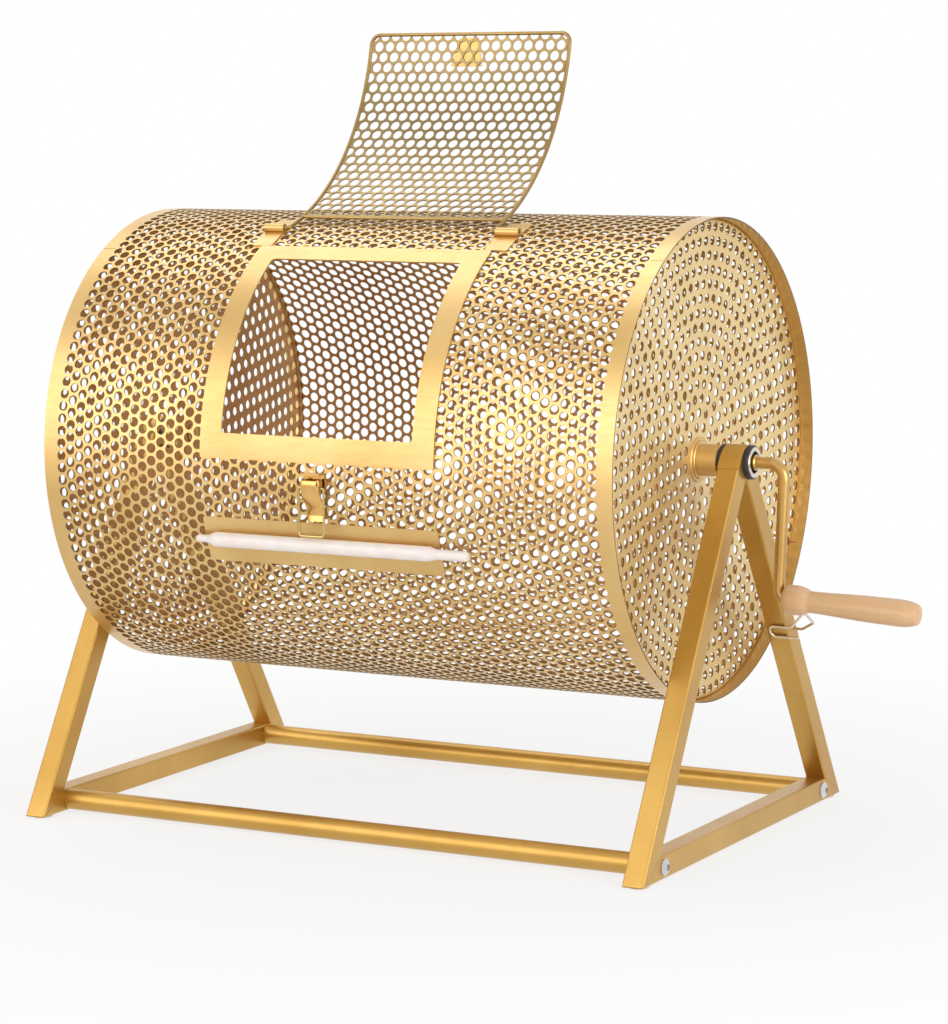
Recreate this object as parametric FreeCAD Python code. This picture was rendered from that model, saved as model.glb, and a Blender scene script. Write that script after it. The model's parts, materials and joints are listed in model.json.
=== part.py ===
import FreeCAD, Part
import math
import os
from FreeCAD import Vector as V

# Raffle drum on a tube stand, turned by a bent crank.
# Millimetres. X runs along the drum's axis, +X at the crank; -Y is the front, where the window is;
# Z is up, and Z = 0 is the floor. The origin lies on the floor under the middle of the drum.
# An angle on the drum is counted from straight up, towards the front.

# drum
drum_radius = 200.0
drum_length = 534.0
sheet = 1.2                 # thickness of the drum's sheet metal
axis_height = 316.0
disc_recess = 10.5          # how far an end disc sits inside the rim
disc_dish = 7.5             # how far the middle of a disc lies inside its edge
disc_lip = 3.2              # width of the lip turned inwards

# punched field, drawn as a plain grid of openings
field_half_length = 254.0
field_columns = 12
field_rows = 24
first_row_angle = 7.1
open_share = 0.73           # of the grid's pitch, along each of its directions
disc_grid = 12
disc_pitch = 31.0
disc_field_radius = 188.0

# window, its frame and the plate below it
window_half_width = 90.0
window_top = 35.0
window_bottom = 82.5
frame_half_width = 110.0
frame_top = 29.8
frame_bottom = 88.5
frame_thickness = 1.3
plate_half_width = 111.0
plate_top = 102.7
plate_bottom = 114.0
plate_thickness = 1.2

# white bar on the plate
bar_angle = 107.6
bar_radius = 6.2
bar_left_end = -116.6
bar_right_end = 140.0
bar_left_thin = 3.25        # radius of the thinner ends
bar_right_thin = 4.3

# lid, drawn closed and then swung open
lid_left = -96.5            # middles of the wires at its sides
lid_right = 98.2
lid_wire_radius = 1.6
lid_hinge_angle = 22.3
lid_edge_angle = 86.6
lid_cross_angle = 29.2
lid_cross_radius = 1.4
lid_corner = 8.5
lid_elbow = 4.0
panel_gap = 0.02
lid_radius = 204.0
lid_sheet = 1.0
lid_open_angle = 186.0
hinge_clearance = 0.05

# hinge straps: where their barrels start and end
left_barrel = (-120.0, -100.8)
right_barrel = (102.5, 123.5)
strap_end_angle = 15.0
strap_thickness = 1.2
barrel_radius = 3.5

# stand
tube = 19.0                 # square tube, outside
tube_wall = 1.5
tube_corner = 1.6
pad_height = 1.6
stand_outer_x = 294.4
half_base = 202.0
front_leg_offset = 17.0     # from the drum's axis to the front face of the front leg
rear_leg_offset = 8.5       # from the drum's axis to the upper face of the rear leg
crossbar_radius = 9.0
crossbar_wall = 1.5
plug_length = 20.0
crossbar_inset = 39.5       # from the outer end of a rail to the middle of a crossbar
crossbar_height = 9.7
bolt_radius = 4.0

# bearings, hubs and shafts
housing_radius = 14.3
housing_blend = 25.0
bush_radius = 11.0
flange_radius = 14.2
flange_thickness = 4.6
shaft_radius = 4.8
running_gap = 0.05
hub_flange_radius = 18.8
hub_boss_radius = 13.3
hub_gap = 0.5               # between a hub and the bush beside it
grub_radius = 2.5
grub_x = 261.0

# crank and grip
crank_arm_x = 326.2         # where the arm's line meets the drum's axis
crank_throw = 111.0
crank_bend = 13.0
crank_lower_bend = 7.5
crank_lean = 2.7            # degrees that arm and grip are turned in the crank's own plane
grip_pin_radius = 3.5
grip_pin_length = 104.0
grip_start = 5.2            # from the crank's lower corner to the grip
grip_length = 117.4
snap_ring_at = 98.0
snap_ring_radius = 5.2

# draw latch: "drop" is below the drum's axis, "reach" is in front of the drum's foremost line
pivot_drop = 9.0
pivot_reach = 6.0
ear_inner = 5.3
ear_outer = 6.5
latch_pin_radius = 1.3
lever_half_width = 8.5
lever_end_half_width = 7.5
lever_thickness = 1.3
cheek_inner = 7.1
bail_drop = 14.0
bail_reach = 6.8
bail_length = 39.5
bail_half_width = 11.7
bail_wire_radius = 1.0

# wire catch round the rear leg at the crank's end
catch_wire_radius = 1.2
catch_distance = 177.5      # from the drum's axis, down the rear leg
catch_pitch = 11.0
catch_bend = 5.0
catch_gap = 0.3

inner_radius = drum_radius - sheet
stand_inner_x = stand_outer_x - tube
foot_z = pad_height
crossbar_y = half_base - crossbar_inset
crossbar_z = foot_z + crossbar_height
shaft_start = drum_length / 2 - disc_recess - disc_dish - 3.0
X_AXIS = V(1, 0, 0)
AXIS_POINT = V(0, 0, axis_height)


# ---------- helpers ----------

def on_drum(x, angle, radius):
    a = math.radians(angle)
    return V(x, -radius * math.sin(a), axis_height + radius * math.cos(a))


def turn_about_axis(shape, angle):
    turned = shape.copy()
    turned.rotate(AXIS_POINT, X_AXIS, angle)
    return turned


def mirror_x(shape):
    return shape.mirror(V(0, 0, 0), X_AXIS)


def disc_along_x(radius, x0, x1, y=0.0, z=axis_height):
    return Part.makeCylinder(radius, x1 - x0, V(x0, y, z), X_AXIS)


def polygon_face(points):
    return Part.Face(Part.makePolygon(points + [points[0]]))


def angle_of(point):
    return math.degrees(math.atan2(-point.y, point.z - axis_height))


def curved_plate(x0, x1, angle0, angle1, radius0, radius1, corner=0.0, near_corner=None):
    """A plate bent round the drum; corner rounds its outline, near_corner the end at angle0."""
    section = polygon_face([V(x0, 0, axis_height + radius0), V(x1, 0, axis_height + radius0),
                            V(x1, 0, axis_height + radius1), V(x0, 0, axis_height + radius1)])
    plate = turn_about_axis(section, angle0).revolve(AXIS_POINT, X_AXIS, angle1 - angle0)
    if near_corner is None:
        near_corner = corner
    for radius, angle in ((near_corner, angle0), (corner, angle1)):
        if radius > 0:
            edges = [edge for edge in plate.Edges
                     if abs(edge.Length - (radius1 - radius0)) < 1e-6
                     and abs(angle_of(edge.CenterOfMass) - angle) < 1e-3]
            plate = plate.makeFillet(radius, edges)
    return plate


def turned_piece(outline, start=AXIS_POINT):
    """Revolve (x, radius) points about a line along X through start."""
    points = [start + V(x, 0, radius) for x, radius in outline]
    return polygon_face(points).revolve(start, X_AXIS, 360)


def bent_rod(edges, radius):
    """Sweep a round section along edges that follow each other without a kink."""
    path = Part.Wire(edges)
    first = edges[0]
    section = Part.Wire(Part.makeCircle(radius, first.valueAt(first.FirstParameter),
                                        first.tangentAt(first.FirstParameter)))
    return path.makePipeShell([section], True, False)


def rounded_path(points, bends):
    """Straight runs through points, with an arc of the given radius at each inner point."""
    edges = []
    start = points[0]
    for before, corner, after, bend in zip(points, points[1:], points[2:], bends):
        back = (before - corner).normalize()
        ahead = (after - corner).normalize()
        half = back.getAngle(ahead) / 2
        reach = bend / math.tan(half)
        arc_start = corner + back * reach
        arc_end = corner + ahead * reach
        middle_way = (back + ahead).normalize()
        arc_middle = corner + middle_way * (bend / math.sin(half) - bend)
        edges.append(Part.makeLine(start, arc_start))
        edges.append(Part.Arc(arc_start, arc_middle, arc_end).toShape())
        start = arc_end
    edges.append(Part.makeLine(start, points[-1]))
    return edges


def side_profile(points, x0, x1):
    """Extrude (y, z) points along X."""
    return polygon_face([V(x0, y, z) for y, z in points]).extrude(V(x1 - x0, 0, 0))


def box(x0, x1, y0, y1, z0, z1):
    return Part.makeBox(x1 - x0, y1 - y0, z1 - z0, V(x0, y0, z0))


# ---------- stand ----------

def leg_angle(offset):
    """Lean from upright of a face that starts at the foot and passes offset from the axis."""
    rise = axis_height - foot_z
    return math.atan2(half_base, rise) - math.asin(offset / math.hypot(half_base, rise))


front_lean = leg_angle(front_leg_offset)
rear_lean = leg_angle(rear_leg_offset)


def front_leg_point(up, across):
    """(y, z) measured up the front leg from beside the axis, and across it to the rear."""
    return (up * math.sin(front_lean) + across * math.cos(front_lean),
            axis_height + up * math.cos(front_lean) - across * math.sin(front_lean))


def rear_leg_point(down, across):
    """(y, z) measured down the rear leg from beside the axis, and across it to the rear."""
    return (down * math.sin(rear_lean) + across * math.cos(rear_lean),
            axis_height - down * math.cos(rear_lean) + across * math.sin(rear_lean))


def along_leg_at_height(point_on_leg, across, height, limit):
    """Distance along a leg at which a line across it reaches a height."""
    z0 = point_on_leg(0, across)[1]
    z1 = point_on_leg(limit, across)[1]
    return (height - z0) / (z1 - z0) * limit


def square_tube(outline, hollow, direction):
    """A mitred tube: outline and hollow are (y, z) points, direction is the run in (y, z)."""
    run = V(0, direction[0], direction[1]).normalize()
    solid = side_profile(outline, stand_inner_x, stand_outer_x)
    long_edges = [edge for edge in solid.Edges
                  if abs(edge.tangentAt(edge.FirstParameter).cross(run).Length) < 1e-6]
    solid = solid.makeFillet(tube_corner, long_edges)
    return solid.cut(side_profile(hollow, stand_inner_x + tube_wall, stand_outer_x - tube_wall))


def make_housing():
    """Head of an A-frame: a round seat for the bushes, whose front runs on into the front leg."""
    seat_z = math.sqrt(housing_radius ** 2 - (tube - front_leg_offset) ** 2)
    blend_drop = math.sqrt((housing_blend - housing_radius) ** 2
                           - (housing_blend - front_leg_offset) ** 2)
    centre = (-blend_drop, housing_blend - front_leg_offset)
    reach = math.hypot(*centre)
    touch = (blend_drop * housing_radius / reach, -centre[1] * housing_radius / reach)
    mid_x = math.atan2(touch[1] - centre[1], touch[0] - centre[0])
    mid_angle = (mid_x - math.pi / 2) / 2
    middle = (centre[0] + housing_blend * math.cos(mid_angle),
              centre[1] + housing_blend * math.sin(mid_angle))

    def at(up, across):
        y, z = front_leg_point(up, across)
        return V(stand_inner_x, y, z)

    low_front = at(-seat_z, -front_leg_offset)
    blend_start = at(-blend_drop, -front_leg_offset)
    blend_end = at(*touch)
    low_rear = at(-seat_z, tube - front_leg_offset)
    far_side = at(0, housing_radius)
    outline = Part.Wire([Part.makeLine(low_front, blend_start),
                         Part.Arc(blend_start, at(*middle), blend_end).toShape(),
                         Part.Arc(blend_end, far_side, low_rear).toShape(),
                         Part.makeLine(low_rear, low_front)])
    block = Part.Face(outline).extrude(V(tube, 0, 0))
    return block.cut(disc_along_x(bush_radius, stand_inner_x - 1, stand_outer_x + 1)), seat_z


def make_stand_side():
    """The pieces of the A-frame at the crank's end."""
    housing, seat = make_housing()
    leg_rear = tube - front_leg_offset
    leg_low = rear_leg_offset - tube
    rail_top = foot_z + tube
    wall = tube_wall
    reach = 400.0

    def front_at(height, across):
        return front_leg_point(along_leg_at_height(front_leg_point, across, height, reach), across)

    def rear_at(height, across):
        return rear_leg_point(along_leg_at_height(rear_leg_point, across, height, reach), across)

    front_outline = [front_at(foot_z, -front_leg_offset), front_leg_point(-seat, -front_leg_offset),
                     front_leg_point(-seat, leg_rear), front_at(rail_top, leg_rear)]
    front_hollow = [front_at(foot_z + 2 * wall, wall - front_leg_offset),
                    front_leg_point(-seat, wall - front_leg_offset),
                    front_leg_point(-seat, leg_rear - wall), front_at(rail_top - wall, leg_rear - wall)]
    front_leg = square_tube(front_outline, front_hollow, (math.sin(front_lean), math.cos(front_lean)))

    rear_outline = [rear_at(foot_z, rear_leg_offset), rear_leg_point(-20, rear_leg_offset),
                    rear_leg_point(-20, leg_low), rear_at(rail_top, leg_low)]
    rear_hollow = [rear_at(foot_z + 2 * wall, rear_leg_offset - wall),
                   rear_leg_point(housing_radius + wall, rear_leg_offset - wall),
                   rear_leg_point(housing_radius + tube, leg_low + wall),
                   rear_at(rail_top - wall, leg_low + wall)]
    rear_leg = square_tube(rear_outline, rear_hollow, (math.sin(rear_lean), -math.cos(rear_lean)))
    far = 60.0
    front_half = side_profile([front_leg_point(-far, leg_rear - far), front_leg_point(far, leg_rear - far),
                               front_leg_point(far, leg_rear), front_leg_point(-far, leg_rear)],
                              stand_inner_x - 1, stand_outer_x + 1)
    seat_round = disc_along_x(housing_radius, stand_inner_x - 1, stand_outer_x + 1)
    rear_leg = rear_leg.cut(front_half).cut(seat_round)
    rear_leg = max(rear_leg.Solids, key=lambda solid: solid.Volume)

    rail_outline = [front_at(foot_z, -front_leg_offset), front_at(rail_top, leg_rear),
                    rear_at(rail_top, leg_low), rear_at(foot_z, rear_leg_offset)]
    slope = tube / 2
    rail_hollow = [(rail_outline[0][0] + slope + wall, foot_z + wall), (rail_outline[1][0], rail_top - wall),
                   (rail_outline[2][0], rail_top - wall), (rail_outline[3][0] - slope - wall, foot_z + wall)]
    rail = square_tube(rail_outline, rail_hollow, (1, 0))
    for y in (-crossbar_y, crossbar_y):
        rail = rail.cut(disc_along_x(bolt_radius + 0.2, stand_inner_x - 1, stand_outer_x + 1,
                                     y, crossbar_z))
    return {"bearing_housing": housing, "front_leg": front_leg, "rear_leg": rear_leg, "base_rail": rail}


def make_crossbar(y):
    outer = disc_along_x(crossbar_radius, -stand_inner_x, stand_inner_x, y, crossbar_z)
    inner = disc_along_x(crossbar_radius - crossbar_wall, -stand_inner_x, stand_inner_x, y, crossbar_z)
    return outer.cut(inner)


def at_crossbar_ends(piece):
    """Copies of a piece made for the +X end of the front crossbar, at all four ends."""
    copies = []
    for y in (-crossbar_y, crossbar_y):
        moved = piece.copy()
        moved.translate(V(0, y + crossbar_y, 0))
        copies += [moved, mirror_x(moved)]
    return Part.makeCompound(copies)


def make_end_plugs():
    plug = disc_along_x(crossbar_radius - crossbar_wall, stand_inner_x - plug_length, stand_inner_x,
                        -crossbar_y, crossbar_z)
    hole = disc_along_x(bolt_radius, stand_inner_x - plug_length - 1, stand_inner_x + 1,
                        -crossbar_y, crossbar_z)
    return at_crossbar_ends(plug.cut(hole))


def make_bolts():
    """Truss-head bolts with a hexagonal socket."""
    head_radius, head_height = 7.0, 3.6
    socket_radius, socket_depth = 2.9, 2.0
    centre = V(0, -crossbar_y, crossbar_z)
    top = stand_outer_x + head_height
    head_edge = V(stand_outer_x + 1.0, 0, head_radius) + centre
    crown_edge = V(stand_outer_x, 0, head_radius) + centre
    crown = Part.Arc(head_edge, V(top - 0.9, 0, head_radius * 0.62) + centre, V(top, 0, 0) + centre)
    outline = Part.Wire([Part.makeLine(V(stand_outer_x, 0, 0) + centre, crown_edge),
                         Part.makeLine(crown_edge, head_edge), crown.toShape(),
                         Part.makeLine(V(top, 0, 0) + centre, V(stand_outer_x, 0, 0) + centre)])
    head = Part.Face(outline).revolve(centre, X_AXIS, 360)
    corners = [V(top - socket_depth, socket_radius * math.cos(math.radians(60 * i)),
                 socket_radius * math.sin(math.radians(60 * i))) + centre for i in range(6)]
    socket = polygon_face(corners).extrude(V(socket_depth + 1, 0, 0))
    shank = disc_along_x(bolt_radius, stand_inner_x - plug_length + 4, stand_outer_x + 0.5,
                         -crossbar_y, crossbar_z)
    return at_crossbar_ends(head.fuse(shank).cut(socket).removeSplitter())


def make_foot_pads():
    pad_radius, inset = 8.5, 13.0
    pads = []
    for x in (-stand_outer_x + tube / 2, stand_outer_x - tube / 2):
        for y in (-half_base + inset, half_base - inset):
            pads.append(Part.makeCylinder(pad_radius, pad_height, V(x, y, 0)))
    return Part.makeCompound(pads)


def make_bushes():
    """The two flanged bushes of one housing, seated from both sides."""
    length = tube / 2 - 0.5
    recess_radius, recess = 8.6, 2.2
    bore = shaft_radius + running_gap
    outline = [(-length, bore), (-length, bush_radius), (0, bush_radius), (0, flange_radius - 0.6),
               (0.6, flange_radius), (flange_thickness - 0.8, flange_radius),
               (flange_thickness, flange_radius - 0.8), (flange_thickness, recess_radius),
               (flange_thickness - recess, recess_radius), (flange_thickness - recess, bore)]
    outer = turned_piece(outline, AXIS_POINT + V(stand_outer_x, 0, 0))
    middle = V(stand_outer_x - tube / 2, 0, 0)
    inner = outer.mirror(middle, X_AXIS)
    return Part.makeCompound([outer, inner])


def make_bearing_ring():
    """Steel face ring pressed on the outer bush's flange."""
    start = AXIS_POINT + V(stand_outer_x + flange_thickness, 0, 0)
    return turned_piece([(0, 9.2), (0, 12.6), (0.5, 12.6), (0.9, 12.2), (0.9, 9.6), (0.5, 9.2)], start)


def catch_point(x, down, across):
    y, z = rear_leg_point(down, across)
    return V(x, y, z)


def make_crank_catch():
    """One wire: two strands under the leg, a hook outside it, and a strand back over the leg."""
    low = rear_leg_offset - tube - catch_wire_radius - catch_gap
    high = rear_leg_offset + catch_wire_radius + catch_gap
    upper = catch_distance - catch_pitch
    inner_x = stand_inner_x + 4.2
    points = [catch_point(stand_outer_x + 9.6, catch_distance, low),
              catch_point(inner_x, catch_distance, low),
              catch_point(inner_x, upper, low),
              catch_point(stand_outer_x + 5.1, upper, low),
              catch_point(stand_outer_x + 18.1, upper - 13, -6),
              catch_point(stand_outer_x + 18.1, upper + 8, 5.5),
              catch_point(stand_outer_x + 3.6, upper + 20, high),
              catch_point(inner_x + 1.4, upper + 20, high)]
    bends = [catch_bend, catch_bend, 4.0, 3.0, 3.0, 4.0]
    return bent_rod(rounded_path(points, bends), catch_wire_radius)


# ---------- drum ----------

def shell_openings():
    """The grid of openings, without those that would lie under a piece fitted on the shell."""
    pitch = 2 * field_half_length / field_columns
    half = pitch * open_share / 2
    step = 360 / field_rows
    half_angle = step * open_share / 2
    fitted = [(-frame_half_width, frame_half_width, frame_top, frame_bottom),
              (-plate_half_width, plate_half_width, plate_top, plate_bottom),
              (*left_barrel, strap_end_angle, frame_top),
              (*right_barrel, strap_end_angle, frame_top)]
    openings = []
    for column in range(field_columns):
        x = (column + 0.5) * pitch - field_half_length
        for row in range(field_rows):
            angle = first_row_angle + row * step
            covered = any(x0 - half < x < x1 + half and top - half_angle < angle < bottom + half_angle
                          for x0, x1, top, bottom in fitted)
            if not covered:
                openings.append(curved_plate(x - half, x + half, angle - half_angle, angle + half_angle,
                                             inner_radius - 1, drum_radius + 1))
    return openings


def make_shell():
    outer = disc_along_x(drum_radius, -drum_length / 2, drum_length / 2)
    inner = disc_along_x(inner_radius, -drum_length / 2, drum_length / 2)
    window = curved_plate(-window_half_width - 1.5, window_half_width + 1.5,
                          window_top - 0.4, window_bottom + 0.4,
                          inner_radius - 5, drum_radius + 5, 4.0)
    return outer.cut(inner).cut([window] + shell_openings())


def disc_openings(x0, x1):
    """A square grid of openings between the hub and the disc's edge."""
    half = disc_pitch * open_share / 2
    middles = [(i + 0.5 - disc_grid / 2) * disc_pitch for i in range(disc_grid)]
    openings = []
    for y in middles:
        for z in middles:
            near = math.hypot(abs(y) - half, abs(z) - half)
            far = math.hypot(abs(y) + half, abs(z) + half)
            if near > hub_flange_radius and far < disc_field_radius:
                openings.append(box(x0, x1, y - half, y + half, axis_height + z - half,
                                    axis_height + z + half))
    return openings


def make_end_disc():
    """Dished disc with a lip turned inwards, at the crank's end."""
    hole = 8.0
    edge_x = drum_length / 2 - disc_recess
    middle_x = edge_x - disc_dish

    def dish(radius, inset):
        return V(middle_x + disc_dish * (radius / inner_radius) ** 2 - inset, 0, axis_height + radius)

    lip_end = edge_x - disc_lip
    lip_inner = inner_radius - sheet
    outer_face = Part.Arc(dish(hole, 0), dish(inner_radius / 2, 0), dish(inner_radius, 0))
    inner_face = Part.Arc(dish(lip_inner, sheet), dish(inner_radius / 2, sheet), dish(hole, sheet))
    corner = V(lip_end, 0, axis_height + inner_radius)
    inner_corner = V(lip_end, 0, axis_height + lip_inner)
    outline = Part.Wire([outer_face.toShape(), Part.makeLine(dish(inner_radius, 0), corner),
                         Part.makeLine(corner, inner_corner),
                         Part.makeLine(inner_corner, dish(lip_inner, sheet)), inner_face.toShape(),
                         Part.makeLine(dish(hole, sheet), dish(hole, 0))])
    disc = Part.Face(outline).revolve(AXIS_POINT, X_AXIS, 360)
    return disc.cut(disc_openings(middle_x - 2 * sheet, edge_x + 1))


def make_hub():
    """Welded hub: a stepped flange on the disc and a boss that takes the shaft."""
    seat = drum_length / 2 - disc_recess - disc_dish + 0.1
    end = stand_inner_x - flange_thickness - hub_gap
    outline = [(seat - 2.0, shaft_radius), (seat - 2.0, 8.0), (seat, 8.0), (seat, hub_flange_radius),
               (seat + 1.2, hub_flange_radius), (seat + 1.8, hub_flange_radius - 0.6),
               (seat + 1.8, 16.2), (seat + 2.8, 16.2), (seat + 3.4, 15.6), (seat + 3.4, hub_boss_radius),
               (end - 0.6, hub_boss_radius), (end, hub_boss_radius - 0.6), (end, shaft_radius)]
    screw_hole = Part.makeCylinder(grub_radius, 20, V(grub_x, 0, axis_height), V(0, 1, 0))
    return turned_piece(outline).cut(screw_hole)


def make_grub_screws():
    """Set screws at the back of the hubs, pressed on the shafts."""
    screw = Part.makeCylinder(grub_radius, hub_boss_radius - 0.5 - shaft_radius,
                              V(grub_x, shaft_radius, axis_height), V(0, 1, 0))
    corners = [V(grub_x + 1.4 * math.cos(math.radians(60 * i)), hub_boss_radius - 2.5,
                 axis_height + 1.4 * math.sin(math.radians(60 * i))) for i in range(6)]
    socket = polygon_face(corners).extrude(V(0, 3, 0))
    flat = disc_along_x(shaft_radius, grub_x - 5, grub_x + 5)
    screw = screw.cut(socket).cut(flat)
    return Part.makeCompound([screw, mirror_x(screw)])


def make_stop_collar():
    """Collar on the shaft, just outside the bush."""
    start = stand_outer_x + flange_thickness - 2.2 + 0.4
    outline = [(start, shaft_radius), (start, 6.6), (start + 3.6, 6.6), (start + 4.6, 5.6),
               (start + 4.6, shaft_radius)]
    return turned_piece(outline)


def make_stub_axle():
    """Short axle at the end without a crank, with a domed end."""
    end = stand_outer_x + flange_thickness + 6.0
    axle = disc_along_x(shaft_radius, shaft_start, end)
    rim = [edge for edge in axle.Edges
           if edge.BoundBox.XLength < 1e-6 and edge.BoundBox.XMin > end - 0.1]
    return mirror_x(axle.makeFillet(2.0, rim))


def grip_point(distance, radius):
    """A point beside the grip's own line, which starts at the crank's lower corner."""
    lean = math.radians(crank_lean)
    corner = V(crank_arm_x - crank_throw * math.sin(lean), 0,
               axis_height - crank_throw * math.cos(lean))
    return corner + V(distance * math.cos(lean) + radius * math.sin(lean), 0,
                      radius * math.cos(lean) - distance * math.sin(lean))


def grip_direction():
    return (grip_point(1, 0) - grip_point(0, 0)).normalize()


def make_crank_rod():
    """Shaft, arm and grip pin in one bent rod."""
    points = [V(shaft_start, 0, axis_height), V(crank_arm_x, 0, axis_height),
              grip_point(0, 0), grip_point(crank_lower_bend + 0.5, 0)]
    rod = bent_rod(rounded_path(points, [crank_bend, crank_lower_bend]), shaft_radius)
    along = grip_direction()
    pin = Part.makeCylinder(grip_pin_radius, grip_pin_length - crank_lower_bend,
                            grip_point(crank_lower_bend, 0), along)
    groove_at = grip_point(snap_ring_at, 0)
    groove = Part.makeCylinder(grip_pin_radius + 1, 1.2, groove_at, along).cut(
        Part.makeCylinder(grip_pin_radius - 0.6, 1.2, groove_at, along))
    return rod.fuse(pin).removeSplitter().cut(groove)


def make_grip():
    """Turned wooden grip: a bulb, a neck and a long swell, bored from the bulb for the crank's pin."""
    bore = grip_pin_radius + running_gap
    start = grip_start
    mouth = shaft_radius + 1.7
    mouth_end = crank_lower_bend + 0.8
    end_at = start + grip_length
    bulb = [(start, 8.4), (start + 2.2, 11.3), (start + 7.5, 12.3), (start + 15, 11.9), (start + 21.5, 9.6)]
    swell = [(start + 23.5, 8.9), (start + 47, 9.7), (start + 72, 10.8), (start + 93, 11.1),
             (end_at - 6, 10.0), (end_at - 1.6, 8.6)]

    def curve(points):
        spline = Part.BSplineCurve()
        spline.interpolate([grip_point(*point) for point in points])
        return spline.toShape()

    end = grip_point(end_at, 6.2)
    bore_end = grip_pin_length + 1.5
    room = snap_ring_radius + 0.3
    inside = [grip_point(end_at, 0), grip_point(bore_end, 0), grip_point(bore_end, bore),
              grip_point(snap_ring_at + 1.7, bore), grip_point(snap_ring_at + 1.7, room),
              grip_point(snap_ring_at - 0.5, room), grip_point(snap_ring_at - 0.5, bore),
              grip_point(mouth_end, bore), grip_point(mouth_end, mouth), grip_point(start, mouth),
              grip_point(*bulb[0])]
    edges = [curve(bulb), Part.makeLine(grip_point(*bulb[-1]), grip_point(*swell[0])), curve(swell),
             Part.Arc(grip_point(*swell[-1]), grip_point(end_at - 0.3, 7.6), end).toShape(),
             Part.makeLine(end, inside[0])]
    edges += [Part.makeLine(a, b) for a, b in zip(inside, inside[1:])]
    return Part.Face(Part.Wire(edges)).revolve(grip_point(0, 0), grip_direction(), 360)


def make_snap_ring():
    """Split ring in the pin's groove that keeps the grip on."""
    base = grip_point(snap_ring_at + 0.1, 0)
    ring = Part.makeCylinder(snap_ring_radius, 1.0, base, grip_direction()).cut(
        Part.makeCylinder(grip_pin_radius - 0.6, 1.0, base, grip_direction()))
    slot = box(base.x - 5, base.x + 5, -1.2, 1.2, base.z, base.z + 10)
    return ring.cut(slot)


# ---------- window, hinge and plate ----------

def make_window_frame():
    top = drum_radius + frame_thickness
    plate = curved_plate(-frame_half_width, frame_half_width, frame_top, frame_bottom,
                         drum_radius, top, 2.0)
    hole = curved_plate(-window_half_width, window_half_width, window_top, window_bottom,
                        drum_radius - 1, top + 1, 3.5)
    return plate.cut(hole)


def hinge_line(x):
    return on_drum(x, lid_hinge_angle, math.hypot(lid_radius, lid_elbow))


def make_hinge_strap(start, end):
    """Strap welded to the drum, rolled into a barrel round the lid's wire."""
    strap = curved_plate(start, end, strap_end_angle, frame_top - 0.1,
                         drum_radius, drum_radius + strap_thickness, 2.0)
    barrel = Part.makeCylinder(barrel_radius, end - start, hinge_line(start), X_AXIS)
    bore = Part.makeCylinder(lid_wire_radius + hinge_clearance, end - start + 20,
                             hinge_line(start - 10), X_AXIS)
    return strap.fuse(barrel).removeSplitter().cut(bore)


def make_latch_plate():
    return curved_plate(-plate_half_width, plate_half_width, plate_top, plate_bottom,
                        drum_radius, drum_radius + plate_thickness, 2.5)


def make_white_bar():
    """Moulded bar with thinner rounded ends, seated along the plate."""
    centre = on_drum(0, bar_angle, drum_radius + plate_thickness + bar_radius - 0.25)
    outline = [(bar_left_end, 0), (bar_left_end + 0.6, bar_left_thin * 0.7),
               (bar_left_end + 2.2, bar_left_thin), (-105.0, bar_left_thin), (-98.0, bar_radius),
               (104.0, bar_radius), (111.0, bar_right_thin), (bar_right_end - 3.0, bar_right_thin),
               (bar_right_end - 0.9, bar_right_thin * 0.7), (bar_right_end, 0)]
    bar = turned_piece(outline, centre)
    seat = disc_along_x(drum_radius + plate_thickness, -drum_length / 2, drum_length / 2)
    return bar.cut(seat)


# ---------- lid ----------

def open_lid(shape):
    turned = shape.copy()
    turned.rotate(hinge_line(0), X_AXIS, -lid_open_angle)
    return turned


def lid_side_path(pin_end, side_x, outward):
    """From the end of a hinge pin, round the elbow, along one side and round the corner."""
    first = lid_hinge_angle + math.degrees(math.atan2(lid_elbow, lid_radius))
    last = lid_edge_angle - math.degrees(math.atan2(lid_corner, lid_radius))
    diagonal = math.sqrt(0.5)

    def beside(angle, out, along):
        """A point in the plane that touches the lid's curve at an angle."""
        a = math.radians(angle)
        return on_drum(side_x + outward * out, angle, lid_radius) + V(0, -math.cos(a), -math.sin(a)) * along

    elbow = Part.Arc(beside(first, lid_elbow, -lid_elbow),
                     beside(first, lid_elbow * (1 - diagonal), -lid_elbow * diagonal),
                     beside(first, 0, 0))
    side = Part.Arc(beside(first, 0, 0), beside((first + last) / 2, 0, 0), beside(last, 0, 0))
    corner = Part.Arc(beside(last, 0, 0),
                      beside(last, -lid_corner * (1 - diagonal), lid_corner * diagonal),
                      beside(last, -lid_corner, lid_corner))
    pin = Part.makeLine(hinge_line(pin_end), beside(first, lid_elbow, -lid_elbow))
    return [pin, elbow.toShape(), side.toShape(), corner.toShape()], beside(last, -lid_corner, lid_corner)


def make_lid_frame():
    """One wire from the left hinge pin round the lid to the right hinge pin."""
    left, left_corner = lid_side_path(left_barrel[0] + 0.4, lid_left, -1)
    right, right_corner = lid_side_path(right_barrel[1] - 0.4, lid_right, 1)
    return bent_rod(left + [Part.makeLine(left_corner, right_corner)] + right[::-1], lid_wire_radius)


def make_cross_wire(frame):
    start = on_drum(lid_left, lid_cross_angle, lid_radius)
    return Part.makeCylinder(lid_cross_radius, lid_right - lid_left, start, X_AXIS).cut(frame)


def make_lid_panel():
    """Sheet that fills the wire frame from the cross wire to the free edge."""
    edge = lid_wire_radius + panel_gap
    start = lid_cross_angle + math.degrees((lid_cross_radius + panel_gap) / lid_radius)
    end = lid_edge_angle - math.degrees(edge / lid_radius)
    return curved_plate(lid_left + edge, lid_right - edge, start, end,
                        lid_radius - lid_sheet / 2, lid_radius + lid_sheet / 2,
                        lid_corner - edge, 0.0)


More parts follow.
